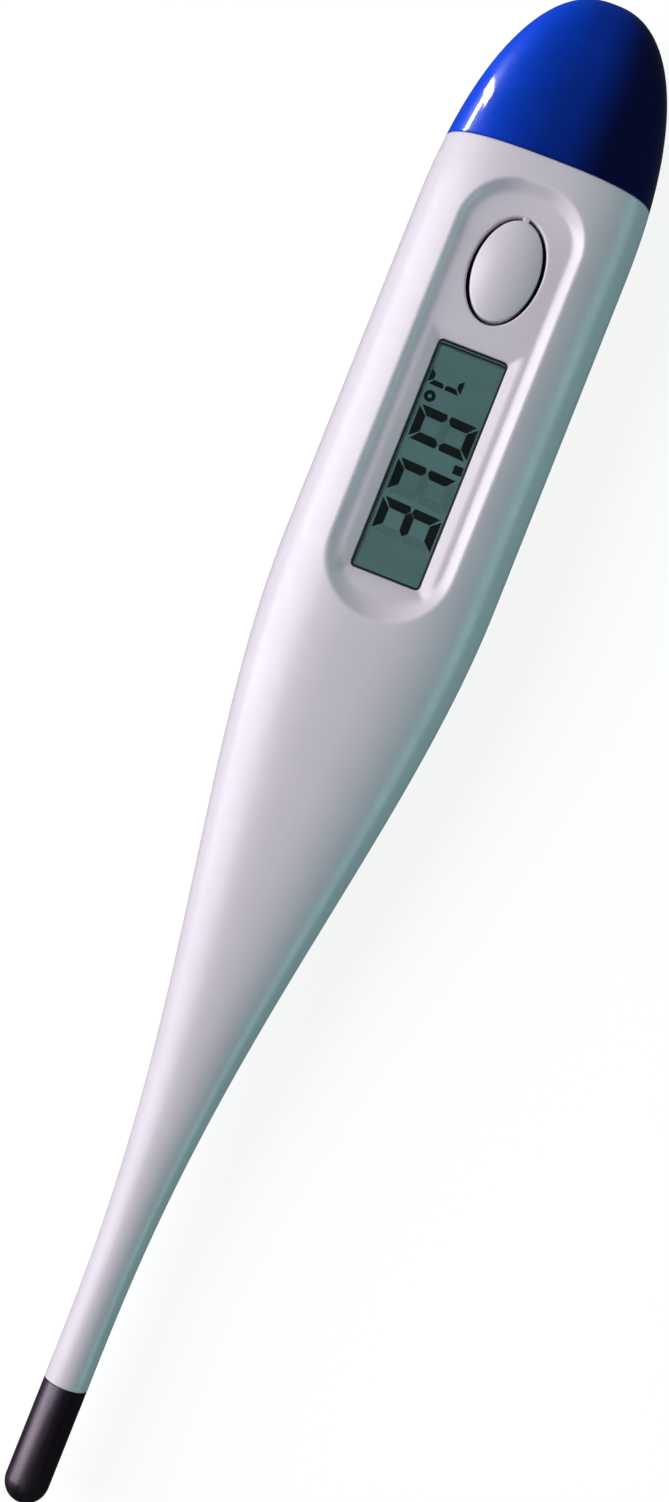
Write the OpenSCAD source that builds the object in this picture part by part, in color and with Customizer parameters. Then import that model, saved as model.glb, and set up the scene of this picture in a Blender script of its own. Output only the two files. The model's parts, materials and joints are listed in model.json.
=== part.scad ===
// Clinical stick thermometer, lying on its flat back.
// X runs from the probe tip to the battery cap, Y to the top of the digits, Z out of the display.
// Lengths along the stick are stations: millimetres from the probe's end.

/* [Overall] */
// Length from the probe's end to the top of the cap
total_len = 124; // [122:0.5:126]
// Widest width across the body
body_w = 17.3; // [17:0.1:18.5]
// Diameter of the stem and of the metal tip
stem_d = 3.5; // [3.4:0.1:3.8]
// Height of the stem's axis above the table
mid_z = 5.2; // [5.2:0.05:5.5]
// Height of the front above the stem's axis
front_rise = 5.2; // [5.2:0.05:5.5]
// Depth of the back below the stem's axis, before it is cut flat
back_drop = 5.45; // [5.45:0.05:5.7]

/* [Metal tip] */
// Bare length of the metal tip
tip_len = 9.7; // [8:0.1:11]
// Thickness of the metal
tip_wall = 0.18; // [0.15:0.01:0.25]

/* [Front panel] */
// Station of the sunk panel's end towards the tip
panel_from = 72.6; // [72:0.1:73.5]
// Station of the sunk panel's end towards the cap
panel_to = 107; // [106.5:0.1:107.5]
// Width of the sunk panel
panel_w = 9.7; // [9:0.1:10.2]
// Height of the panel's floor
panel_z = 9.35; // [9.3:0.01:9.45]
// Station of the window's end towards the tip
window_from = 75.95; // [75.5:0.05:76.4]
// Length of the window
window_len = 18.55; // [18:0.05:19]
// Width of the window
window_w = 5.64; // [5.2:0.02:6]
// Width of the bevel around the window
bevel_w = 0.9; // [0.5:0.1:1]
// Width of the dark seal around the window
seal_w = 0.17; // [0.12:0.01:0.25]

/* [Button] */
// Station of the middle of the button
button_at = 100.88; // [100.5:0.02:101.2]
// Length of the oval opening
button_len = 8.6; // [8:0.1:9]
// Width of the oval opening
button_w = 5.6; // [5:0.1:6]
// Gap round the button
button_gap = 0.3; // [0.25:0.01:0.35]
// Height of the button's crown above the panel's floor
button_crown = 0.5; // [0.3:0.05:0.7]

/* [Battery cap] */
// Station of the seam between the body and the cap
seam_at = 109.8; // [109:0.1:110.5]
// Thickness of the cap
cap_wall = 1; // [0.9:0.05:1.1]
// Gap between the cap and the spigot that it slides over
cap_gap = 0.08; // [0.05:0.01:0.1]
// Length of the spigot
spigot_len = 4.5; // [4:0.1:5]

/* [Hidden] */
$fn = 48;

// Outline of the stick
stem_r = stem_d / 2;
taper_from = 12;       // the stem starts to swell
side_to = 77;          // the sides reach full width
front_to = 84;         // the front reaches full height
back_to = 74;          // the back reaches full depth
swell_bend = 1.2;
nose_from = 104;       // the outline starts to close
nose_pow = 2.25;
boxiness = 0.6;        // how far the section goes from an ellipse to a rounded box
skin_wall = 1.25;      // wall of the housing
spigot_wall = 0.9;
lead_bore_r = 0.9;
around = 40;           // points round each section
oval_points = 48;      // points round the button and its opening
eps = 0.01;            // overlap of solids that are cut or joined
far = 20;              // reach of a cut beyond the part

// Levels inside, from the table up
board_z = 3.8;
board_t = 0.8;
board_top = board_z + board_t;
ceiling_z = 8.25;      // underside of the front panel
window_seat = panel_z - 0.3;
window_top = window_seat - 0.1;
flange_t = 0.5;
flange_w = 0.9;        // width of the window's flange under the front panel
recess_foot = 0.8;     // the recess wall starts this far inside the panel's outline
recess_brim = 0.75;    // and ends this far outside it, above the front
recess_h = 1.25;
window_r = 0.4;        // corner radius of the window
sleeve_len = 3;        // length of the housing's end inside the metal tip
lcd_top = 7.65;
polariser_t = 0.12;
glass_t = 0.55;
cell_gap_t = 0.05;
reflector_t = 0.15;
front_glass_top = lcd_top - polariser_t;
segment_top = front_glass_top - glass_t;
rear_glass_top = segment_top - cell_gap_t;
rear_glass_z = rear_glass_top - glass_t;

// Plan positions inside
window_to = window_from + window_len;
lcd_from = 74.7;
lcd_len = 21;
lcd_w = 8.4;
lcd_margin = 0.2;      // bare edge of the glass round the polariser
ledge_w = 1;           // ledge of the front glass that meets the connector strip
holder_w = 9.8;
holder_rim = 0.6;
holder_in = 0.02;      // play of the display in its holder
board_from = 62;
board_neck = 2;        // length of the board's narrow end
board_neck_w = 4.4;
board_flare = 9;       // station on the board where it is fully wide
board_to = 107.3;
board_w = 11.2;
cell_at = 113.4;
cell_z = 3.75;
cell_r = 3.95;
cell_h = 3.6;
can_t = 0.25;
can_lift = 0.2;        // the can ends this far above the cell's lower face
gasket_t = 0.4;
gasket_lift = 0.15;
carrier_in = 4.05;
carrier_out = 4.75;
carrier_z = 3.1;
carrier_top = 6;
carrier_tongue_w = 8.8;
contact_w = 1.6;       // width of both contacts
contact_lap = 2.8;     // contacts lie on the board from this far inside its end
contact_bend = 0.52;   // and turn up or down this far inside it
leaf_z = 3.5;          // top of the carrier's floor, where the negative contact lies
strip_t = 0.12;
switch_len = 4.2;
switch_w = 3.2;
switch_h = 1.6;
plunger_r = 0.8;
plunger_h = 0.6;
plunger_inset = 0.5;   // length of the plunger inside the switch
plate_t = 0.15;
plate_tab_w = 1.2;
switch_top = board_top + switch_h;
press_gap = 0.08;      // gap between the button's post and the plunger
buzzer_at = 98.2;
buzzer_r = 5;
buzzer_t = 0.15;
foam_h = 0.6;
foam_w = 1.2;
ceramic_r = 3.6;
buzzer_z = board_z - foam_h - buzzer_t;
wire_r = 0.12;
wire_sides = 8;
wire_end_at = 89;
wire_end_y = 2.2;
hook_at = [76.5, 91];  // stations of the holder's hooks
hook_w = 1;
hook_y = 4.95;         // middle of a hook's stem
hook_t = 0.46;
hook_barb_y = 4.75;    // middle of its barb
hook_barb_t = 0.86;
slot_y = 5.2;          // middle of the board's slot for a hook
slot_w = 1.2;
pin_gap = 0.02;        // glue line between fitted pieces

// Thermistor and its leads, as points beside the axis that the two leads mirror
bead_at = 2.4;
bead_r = 0.55;
lead_r = 0.15;
last_lead = [63.4, 1.2, 4.75];
solder_r = 0.55;

// Parts under the board, as [station, y]
chip_at = 84;
chip_r = 2.75;
chip_h = 1.1;
capacitor_places = [[68.5, 0], [75, -3.4], [75, 3.4]];
capacitor_h = 0.8;
resistor_places = [[71.5, -1.6], [71.5, 1.6], [78.5, 0]];
resistor_h = 0.45;
chip_part_len = 1.6;
chip_part_w = 0.8;
chip_end = 0.3;        // length of each metal end
lead_points = [[3.08, 0.25, 5.2], [9, 0.4, 5.2], [42, 0.4, 5.2], [60.5, 1.2, 4.95], last_lead];

// Digits on the display
digit_w = 2.77;
digit_h = 4.87;
digit_t = 0.72;
mitre = 0.05;          // half of the gap between two segments
slant = 2.8;           // lean of the digits in degrees
digit_base = -2.43;
letter_w = 1.33;
letter_h = 2.73;
letter_t = 0.4;
letter_at = 91.1;
letter_base = -0.15;
point_at = 85.43;
degree_at = 90.34;
degree_y = 2;
// Each digit is [station of its lower left corner, its lit segments]
digits = [[79.03, "abcdg"], [82.21, "abc"], [86.58, "abcdef"]];

// ---------- outline of the stick ----------

function clamp01(t) = min(max(t, 0), 1);
function ease(t) = t * t * (3 - 2 * t);
function swell(s, to) = ease(pow(clamp01((s - taper_from) / (to - taper_from)), swell_bend));

// Share of the full size left at station s, as the outline closes towards the end of the cap
function nose(s, inset) =
    let (k = clamp01((s - nose_from) / (total_len - inset - nose_from)))
    pow(max(1 - pow(k, nose_pow), 0), 1 / nose_pow);

function reach(s, full, to, inset) =
    max(stem_r + (full - stem_r) * swell(s, to) - inset, lead_bore_r) * nose(s, inset);
function half_w(s, inset = 0) = reach(s, body_w / 2, side_to, inset);
function front_h(s, inset = 0) = reach(s, front_rise, front_to, inset);
function back_h(s, inset = 0) = reach(s, back_drop, back_to, inset);

// One point of a rounded section: a superellipse, squarer where the stick is full
function bulge(c, size, power) = size * sign(c) * pow(abs(c), power);
function ring(s, inset = 0) =
    let (power = 2 / (2 + boxiness * swell(s, side_to)))
    [for (i = [0 : around - 1])
        let (
            a = 360 * i / around,
            h = sin(a) > 0 ? front_h(s, inset) : back_h(s, inset)
        )
        [s, bulge(cos(a), half_w(s, inset), power), mid_z + bulge(sin(a), h, power)]];

// Stations from one place to another, closer together where the outline bends
function steps(from, to, count) = [for (i = [0 : count]) from + (to - from) * i / count];
function nose_steps(from, inset, count) =
    let (
        span = total_len - inset - nose_from,
        first = asin(pow((from - nose_from) / span, nose_pow / 2))
    )
    [for (i = [0 : count - 1])
        nose_from + span * pow(sin(first + (90 - first) * i / count), 2 / nose_pow)];

// Closed skin through a list of rings, with a flat end or a point at the last one
module skin(rings, apex = undef) {
    n = len(rings[0]);
    last = len(rings) - 1;
    points = [for (r = rings) each r];
    sides = [for (j = [0 : last - 1]) for (i = [0 : n - 1])
        let (
            a = j * n + i,
            b = j * n + (i + 1) % n
        )
        each [[a, a + n, b], [b, a + n, b + n]]];
    start = [[for (i = [0 : n - 1]) i]];
    flat_end = [[for (i = [n - 1 : -1 : 0]) last * n + i]];
    point_end = [for (i = [0 : n - 1]) [last * n + i, (last + 1) * n, last * n + (i + 1) % n]];
    is_flat = is_undef(apex);
    polyhedron(
        is_flat ? points : concat(points, [apex]),
        concat(start, sides, is_flat ? flat_end : point_end)
    );
}

module stick(stations, inset = 0) {
    skin([for (s = stations) ring(s, inset)]);
}

module nose_shell(from, inset) {
    skin(
        [for (s = nose_steps(from, inset, 12)) ring(s, inset)],
        [total_len - inset, 0, mid_z]
    );
}

module above_table() {
    translate([0, -far, 0])
        cube([total_len + far, 2 * far, 2 * far]);
}

// Puts stations into the part's frame, whose origin is under the middle of the length
module place() {
    translate([-total_len / 2, 0, 0])
        children();
}

module box(from, to) {
    translate(from)
        cube(to - from);
}

module rod(s, y, z, r, h) {
    translate([s, y, z])
        cylinder(h = h, r = r);
}

// Round wire through a list of points, square to the route at each one
function unit(v) = v / norm(v);
function course(points, i) =
    let (last = len(points) - 1)
    unit((i < last ? unit(points[i + 1] - points[i]) : [0, 0, 0])
        + (i > 0 ? unit(points[i] - points[i - 1]) : [0, 0, 0]));
function wire_ring(centre, d, r) =
    let (
        side = unit(cross([0, 0, 1], d)),
        up = cross(d, side)
    )
    [for (i = [0 : wire_sides - 1])
        let (a = 360 * i / wire_sides)
        centre + r * (cos(a) * side + sin(a) * up)];

module wire_path(points, r) {
    skin([for (i = [0 : len(points) - 1]) wire_ring(points[i], course(points, i), r)]);
}

// ---------- housing ----------

module track(grow) {
    r = panel_w / 2;
    for (s = [panel_from + r, panel_to - r])
        translate([s, 0])
            circle(r + grow);
    translate([panel_from + r, -r - grow])
        square([panel_to - panel_from - panel_w, panel_w + 2 * grow]);
}

module plate(z, h) {
    translate([0, 0, z])
        linear_extrude(h)
            children();
}

module panel_recess() {
    hull() {
        plate(panel_z, eps) track(-recess_foot);
        plate(panel_z + recess_h, eps) track(recess_brim);
    }
}

module window_outline(grow, r = window_r) {
    for (s = [window_from + r, window_to - r])
        for (y = [-1, 1])
            translate([s, y * (window_w / 2 - r)])
                circle(r + grow, $fn = 24);
    translate([window_from + r, -window_w / 2 - grow])
        square([window_len - 2 * r, window_w + 2 * grow]);
    translate([window_from - grow, -window_w / 2 + r])
        square([window_len + 2 * grow, window_w - 2 * r]);
}

module window_bevel() {
    hull() {
        plate(window_seat, eps) window_outline(0);
        plate(panel_z + eps, eps) window_outline(bevel_w);
    }
}

function oval_ring(rx, ry) =
    [for (i = [0 : oval_points - 1])
        let (a = 360 * i / oval_points)
        [button_at + rx * cos(a), ry * sin(a)]];

module oval(len, w) {
    polygon(oval_ring(len / 2, w / 2));
}

module spigot() {
    inset = cap_wall + cap_gap;
    stick(steps(seam_at - 3, seam_at + spigot_len, 5), inset);
}

module cavity() {
    spigot_inset = cap_wall + cap_gap + spigot_wall;
    wide = concat(steps(22, 80, 16), [94, 105]);
    neck = steps(108, seam_at + spigot_len + 1, 4);
    skin(concat(
        [for (s = wide) ring(s, skin_wall)],
        [for (s = neck) ring(s, spigot_inset)]
    ));
}

module panel_backing() {
    plate(ceiling_z, 3) track(1);
}

module housing() {
    color([0.90, 0.88, 0.92])
    difference() {
        union() {
            intersection() {
                stick(concat(steps(tip_len, taper_from, 1), steps(16, 104, 22), [107, seam_at]));
                above_table();
            }
            spigot();
            translate([tip_len - sleeve_len, 0, mid_z])
                rotate([0, 90, 0])
                    cylinder(h = sleeve_len + 1, r = stem_r - tip_wall - pin_gap);
        }
        difference() {
            cavity();
            panel_backing();
        }
        translate([tip_len - sleeve_len - 1, 0, mid_z])
            rotate([0, 90, 0])
                cylinder(h = far, r = lead_bore_r);
        panel_recess();
        window_bevel();
        plate(ceiling_z - 1, 3) window_outline(0);
        plate(ceiling_z - 1, 3) oval(button_len, button_w);
    }
}

// ---------- window and button ----------

module display_window() {
    color([0.80, 0.90, 0.90, 0.35])
    union() {
        plate(ceiling_z - flange_t, flange_t)
            window_outline(flange_w);
        plate(ceiling_z - eps, window_top - ceiling_z + eps)
            window_outline(-seal_w - pin_gap);
    }
}

module window_seal() {
    color([0.04, 0.04, 0.05])
    difference() {
        plate(ceiling_z, window_top - ceiling_z) window_outline(-pin_gap / 2);
        plate(ceiling_z - 1, 5) window_outline(-seal_w);
    }
}

module power_button() {
    pad_len = button_len - 2 * button_gap;
    pad_w = button_w - 2 * button_gap;
    bottom = ceiling_z + 0.05;
    edge = panel_z + 0.05;
    web = 0.5;
    web_z = bottom + 0.3;
    web_t = 0.4;
    post_r = 0.9;
    post_z = switch_top + plunger_h + press_gap;
    dome = [for (a = [15 : 15 : 75]) [cos(a), edge + button_crown * sin(a)]];
    levels = concat([[1, bottom], [1, edge]], dome);
    color([0.90, 0.88, 0.92])
    union() {
        skin(
            [for (t = levels)
                [for (q = oval_ring(pad_len / 2 * t[0], pad_w / 2 * t[0])) [q[0], q[1], t[1]]]],
            [button_at, 0, edge + button_crown]
        );
        box([button_at + pad_len / 2 - 0.2, -web / 2, web_z],
            [button_at + button_len / 2, web / 2, web_z + web_t]);
        rod(button_at, 0, post_z, post_r, bottom + press_gap - post_z);
    }
}

// ---------- battery cap ----------

module battery_cap() {
    color([0.02, 0.14, 0.62])
    difference() {
        intersection() {
            nose_shell(seam_at, 0);
            above_table();
        }
        nose_shell(seam_at - 1, cap_wall);
    }
}

// ---------- probe ----------

// Round-ended rod on the stem's axis, between two stations
module probe_solid(r, from, to) {
    translate([stem_r, 0, mid_z])
        rotate([0, 90, 0])
            rotate_extrude($fn = 64)
                intersection() {
                    union() {
                        circle(r);
                        square([r, 2 * tip_len]);
                    }
                    translate([0, from - stem_r])
                        square([r, to - from]);
                }
}

module probe_tip() {
    color([0.45, 0.44, 0.47])
    difference() {
        probe_solid(stem_r, 0, tip_len);
        probe_solid(stem_r - tip_wall, 0, tip_len + 1);
    }
}

module tip_potting() {
    color([0.16, 0.15, 0.15])
    difference() {
        probe_solid(stem_r - tip_wall - pin_gap, 0, tip_len - sleeve_len - 0.1);
        bead_shape();
        lead_path(1);
        lead_path(-1);
    }
}

module bead_shape() {
    translate([bead_at, 0, mid_z])
        sphere(bead_r);
}

module thermistor_bead() {
    color([0.55, 0.30, 0.16])
    bead_shape();
}

module lead_path(side) {
    wire_path([for (p = lead_points) [p[0], side * p[1], p[2]]], lead_r);
}

module thermistor_lead_left() {
    color([0.72, 0.38, 0.20])
    lead_path(1);
}

module thermistor_lead_right() {
    color([0.72, 0.38, 0.20])
    lead_path(-1);
}

// ---------- circuit board ----------

module circuit_board() {
    board_side = [
        [board_from, -board_neck_w / 2], [board_from + board_neck, -board_neck_w / 2],
        [board_from + board_flare, -board_w / 2], [board_to, -board_w / 2]
    ];
    color([0.10, 0.38, 0.20])
    difference() {
        plate(board_z, board_t)
            polygon(concat(board_side, [for (i = [3 : -1 : 0]) [board_side[i][0], -board_side[i][1]]]));
        for (s = hook_at)
            for (side = [-1, 1])
                box([s - slot_w / 2, side * slot_y - 0.5, board_z - 1],
                    [s + slot_w / 2, side * slot_y + 0.5, board_top + 1]);
    }
}

// Small heap of solder on one face of the board, cut to the wire that it holds
module solder_heap(s, y, z) {
    translate([s, y, z])
        sphere(solder_r, $fn = 32);
}

module lead_solder_joints() {
    color([0.75, 0.76, 0.78])
    difference() {
        union() {
            for (side = [-1, 1])
                solder_heap(last_lead[0], side * last_lead[1], board_top);
            for (side = [-1, 1])
                solder_heap(wire_end_at, side * wire_end_y, board_z);
        }
        box([board_from, -board_w / 2, board_z], [board_to, board_w / 2, board_top]);
        lead_path(1);
        lead_path(-1);
        buzzer_wire_red();
        buzzer_wire_black();
    }
}

module chip_blob() {
    curve = (chip_r * chip_r + chip_h * chip_h) / (2 * chip_h);
    color([0.05, 0.05, 0.05])
    intersection() {
        translate([chip_at, 0, board_z - chip_h + curve])
            sphere(curve);
        rod(chip_at, 0, board_z - chip_h, chip_r, chip_h);
    }
}

// Chip part with its two metal ends, under the board
module chip_part(s, y, h) {
    half = chip_part_len / 2;
    mid = half - chip_end;
    w = chip_part_w / 2;
    box([s - half, y - w, board_z - h], [s - mid, y + w, board_z]);
    box([s - mid, y - w + 0.02, board_z - h + 0.02], [s + mid, y + w - 0.02, board_z]);
    box([s + mid, y - w, board_z - h], [s + half, y + w, board_z]);
}

module capacitors() {
    color([0.62, 0.48, 0.32])
    for (p = capacitor_places)
        chip_part(p[0], p[1], capacitor_h);
}

module resistors() {
    color([0.08, 0.08, 0.09])
    for (p = resistor_places)
        chip_part(p[0], p[1], resistor_h);
}

// ---------- display ----------

module lcd_layer(top, h, s_inset, from_y, to_y) {
    box([lcd_from + s_inset, from_y, top - h], [lcd_from + lcd_len - s_inset, to_y, top]);
}

module lcd_front_polariser() {
    color([0.42, 0.50, 0.48, 0.4])
    lcd_layer(lcd_top, polariser_t, lcd_margin, -lcd_w / 2 + lcd_margin, lcd_w / 2 - lcd_margin);
}

module lcd_front_glass() {
    color([0.75, 0.85, 0.83, 0.3])
    lcd_layer(front_glass_top, glass_t, 0, -lcd_w / 2, lcd_w / 2);
}

module lcd_edge_seal() {
    color([0.80, 0.80, 0.72])
    difference() {
        lcd_layer(segment_top, cell_gap_t, 0.1, -lcd_w / 2 + ledge_w + 0.05, lcd_w / 2 - 0.1);
        lcd_layer(segment_top + eps, 1, 0.4, -lcd_w / 2 + ledge_w + 0.3, lcd_w / 2 - 0.4);
    }
}

module lcd_rear_glass() {
    color([0.75, 0.85, 0.83, 0.3])
    lcd_layer(rear_glass_top, glass_t, 0, -lcd_w / 2 + ledge_w, lcd_w / 2);
}

module lcd_rear_polariser() {
    color([0.33, 0.44, 0.42])
    lcd_layer(rear_glass_z, reflector_t, 0.1, -lcd_w / 2 + ledge_w + 0.1, lcd_w / 2 - 0.1);
}

// Seven-segment shapes in a cell of size w by h, with strokes t wide
function seg_top(w, h, t) =
    [[3 * mitre, h], [w - 3 * mitre, h], [w - t - mitre, h - t], [t + mitre, h - t]];
function seg_bar(w, h, t) = let (m = h / 2)
    [[t / 2 + mitre, m], [t + mitre, m + t / 2], [w - t - mitre, m + t / 2],
     [w - t / 2 - mitre, m], [w - t - mitre, m - t / 2], [t + mitre, m - t / 2]];
function seg_side(w, h, t) =
    [[w, h - 3 * mitre], [w, h / 2 + t / 4], [w - t / 2, h / 2 + mitre],
     [w - t, h / 2 + t / 2], [w - t, h - t - mitre]];
function flip_y(p, h) = [for (q = p) [q[0], h - q[1]]];
function flip_x(p, w) = [for (q = p) [w - q[0], q[1]]];
function segment(name, w, h, t) =
    name == "a" ? seg_top(w, h, t) :
    name == "b" ? seg_side(w, h, t) :
    name == "c" ? flip_y(seg_side(w, h, t), h) :
    name == "d" ? flip_y(seg_top(w, h, t), h) :
    name == "e" ? flip_x(flip_y(seg_side(w, h, t), h), w) :
    name == "f" ? flip_x(seg_side(w, h, t), w) :
    seg_bar(w, h, t);

module character(at, base, w, h, t, lit) {
    for (name = lit)
        polygon([for (p = segment(name, w, h, t))
            [at + p[0] + p[1] * tan(slant), base + p[1]]]);
}

module lcd_segments() {
    color([0.02, 0.03, 0.03])
    plate(rear_glass_top, cell_gap_t) {
        for (d = digits)
            character(d[0], digit_base, digit_w, digit_h, digit_t, d[1]);
        character(letter_at, letter_base, letter_w, letter_h, letter_t, "adef");
        translate([point_at, digit_base - 0.05])
            square([0.7, 0.74]);
        translate([degree_at, degree_y])
            difference() {
                circle(0.45, $fn = 32);
                circle(0.16, $fn = 32);
            }
    }
}

module lcd_holder() {
    in = holder_in;
    low = rear_glass_z - reflector_t;
    color([0.85, 0.86, 0.86])
    union() {
        difference() {
            box([lcd_from - holder_rim, -holder_w / 2, board_top],
                [lcd_from + lcd_len + holder_rim, holder_w / 2, front_glass_top]);
            box([lcd_from - in, -lcd_w / 2 - in, low], [lcd_from + lcd_len + in, lcd_w / 2 + in, lcd_top]);
            box([lcd_from + 0.5, -lcd_w / 2 + 0.03, board_top - 1],
                [lcd_from + lcd_len - 0.5, -lcd_w / 2 + ledge_w - 0.13, lcd_top]);
            box([lcd_from + 1, -lcd_w / 2 + ledge_w + 0.6, board_top - 1],
                [lcd_from + lcd_len - 1, lcd_w / 2 - 0.6, low - 0.6]);
        }
        for (s = hook_at)
            for (side = [-1, 1]) {
                box([s - hook_w / 2, side * hook_y - hook_t / 2, board_z - pin_gap],
                    [s + hook_w / 2, side * hook_y + hook_t / 2, board_top + 0.2]);
                box([s - hook_w / 2, side * hook_barb_y - hook_barb_t / 2, board_z - 0.5],
                    [s + hook_w / 2, side * hook_barb_y + hook_barb_t / 2, board_z - pin_gap]);
            }
    }
}

module connector_strip() {
    color([0.72, 0.55, 0.58])
    box([lcd_from + 0.52, -lcd_w / 2 + 0.05, board_top],
        [lcd_from + lcd_len - 0.52, -lcd_w / 2 + ledge_w - 0.15, segment_top]);
}

// ---------- switch ----------

module switch_body() {
    color([0.07, 0.07, 0.08])
    difference() {
        box([button_at - switch_len / 2, -switch_w / 2, board_top],
            [button_at + switch_len / 2, switch_w / 2, switch_top - plate_t]);
        rod(button_at, 0, switch_top - plate_t - plunger_inset - 0.5, plunger_r + 0.05, 5);
    }
}

module switch_plate() {
    color([0.70, 0.70, 0.72])
    difference() {
        union() {
            box([button_at - switch_len / 2, -switch_w / 2, switch_top - plate_t],
                [button_at + switch_len / 2, switch_w / 2, switch_top]);
            for (side = [-1, 1])
                translate([0, side * (switch_w + plate_t) / 2, 0])
                    box([button_at - plate_tab_w / 2, -plate_t / 2, board_top],
                        [button_at + plate_tab_w / 2, plate_t / 2, switch_top]);
        }
        rod(button_at, 0, switch_top - 1, plunger_r + 0.05, 5);
    }
}

module switch_plunger() {
    color([0.85, 0.83, 0.78])
    rod(button_at, 0, switch_top - plate_t - plunger_inset, plunger_r, plunger_inset + plate_t + plunger_h);
}

// ---------- battery ----------

module battery_carrier() {
    slot_half = contact_w / 2 + 0.1;
    color([0.80, 0.81, 0.82])
    difference() {
        union() {
            rod(cell_at, 0, carrier_z, carrier_out, carrier_top - carrier_z);
            box([board_to - 0.5, -carrier_tongue_w / 2, carrier_z],
                [cell_at - 3, carrier_tongue_w / 2, carrier_top]);
        }
        rod(cell_at, 0, leaf_z, carrier_in, cell_h + 2);
        box([board_to - 1, -board_w / 2, board_z - pin_gap],
            [board_to + 0.03, board_w / 2, board_top + pin_gap]);
        box([board_to - 1, -slot_half, leaf_z - pin_gap], [cell_at, slot_half, leaf_z + 0.2]);
        box([cell_at - cell_r - 0.25, -slot_half, leaf_z], [cell_at, slot_half, carrier_top + 1]);
    }
}

// Piece of contact strip, in stations and heights
module strip(from_s, from_z, to_s, to_z) {
    box([from_s, -contact_w / 2, from_z], [to_s, contact_w / 2, to_z]);
}

module contact_positive() {
    bend = board_to - contact_bend;
    side = cell_at - cell_r - pin_gap;
    color([0.78, 0.70, 0.45])
    union() {
        strip(board_to - contact_lap, board_top, bend, board_top + strip_t);
        strip(bend - strip_t, board_top, bend, carrier_top + strip_t);
        strip(bend - strip_t, carrier_top, side, carrier_top + strip_t);
        strip(side - strip_t, board_top + 0.2, side, carrier_top + strip_t);
    }
}

module contact_negative() {
    bend = board_to - contact_bend;
    color([0.78, 0.70, 0.45])
    union() {
        strip(board_to - contact_lap, board_z - strip_t, bend, board_z);
        strip(bend - strip_t, leaf_z, bend, board_z);
        strip(bend - strip_t, leaf_z, cell_at + 2, leaf_z + strip_t);
        strip(cell_at - 1, leaf_z, cell_at + 1, cell_z);
    }
}

module cell_can() {
    color([0.78, 0.79, 0.80])
    difference() {
        rod(cell_at, 0, cell_z + can_lift, cell_r, cell_h - can_lift);
        rod(cell_at, 0, cell_z, cell_r - can_t, cell_h - can_t);
    }
}

module cell_gasket() {
    color([0.12, 0.30, 0.22])
    difference() {
        rod(cell_at, 0, cell_z + gasket_lift, cell_r - can_t, cell_h - can_t - gasket_lift);
        rod(cell_at, 0, cell_z, cell_r - can_t - gasket_t, cell_h);
    }
}

module cell_cap() {
    color([0.70, 0.71, 0.72])
    rod(cell_at, 0, cell_z, cell_r - can_t - gasket_t, cell_h - can_t);
}

// ---------- buzzer ----------

module buzzer_foam() {
    color([0.92, 0.90, 0.84])
    difference() {
        rod(buzzer_at, 0, board_z - foam_h, buzzer_r, foam_h);
        rod(buzzer_at, 0, board_z - foam_h - 1, buzzer_r - foam_w, foam_h + 2);
    }
}

module buzzer_plate() {
    color([0.80, 0.62, 0.25])
    rod(buzzer_at, 0, buzzer_z, buzzer_r, buzzer_t);
}

module buzzer_ceramic() {
    color([0.88, 0.86, 0.78])
    rod(buzzer_at, 0, buzzer_z - buzzer_t, ceramic_r, buzzer_t);
}

module buzzer_wire_red() {
    color([0.75, 0.08, 0.06])
    wire_path([
        [buzzer_at - 1, 1.5, buzzer_z - buzzer_t - wire_r],
        [buzzer_at - 5.6, wire_end_y, buzzer_z - 0.35],
        [wire_end_at, wire_end_y, board_z - 0.2]
    ], wire_r);
}

module buzzer_wire_black() {
    color([0.05, 0.05, 0.05])
    wire_path([
        [buzzer_at - 4.3, -0.8, buzzer_z - wire_r],
        [buzzer_at - 5.6, -wire_end_y, buzzer_z - 0.3],
        [wire_end_at, -wire_end_y, board_z - 0.2]
    ], wire_r);
}

place() housing();
place() display_window();
place() window_seal();
place() power_button();
place() battery_cap();
place() probe_tip();
place() tip_potting();
place() thermistor_bead();
place() thermistor_lead_left();
place() thermistor_lead_right();
place() lead_solder_joints();
place() circuit_board();
place() lcd_front_polariser();
place() lcd_front_glass();
place() lcd_segments();
place() lcd_edge_seal();
place() lcd_rear_glass();
place() lcd_rear_polariser();
place() lcd_holder();
place() connector_strip();
place() chip_blob();
place() capacitors();
place() resistors();
place() switch_body();
place() switch_plate();
place() switch_plunger();
place() battery_carrier();
place() contact_positive();
place() contact_negative();
place() cell_can();
place() cell_gasket();
place() cell_cap();
place() buzzer_foam();
place() buzzer_plate();
place() buzzer_ceramic();
place() buzzer_wire_red();
place() buzzer_wire_black();
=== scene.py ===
import json
import math

import bmesh
import bpy
import numpy as np
from mathutils import Matrix, Vector


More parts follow.
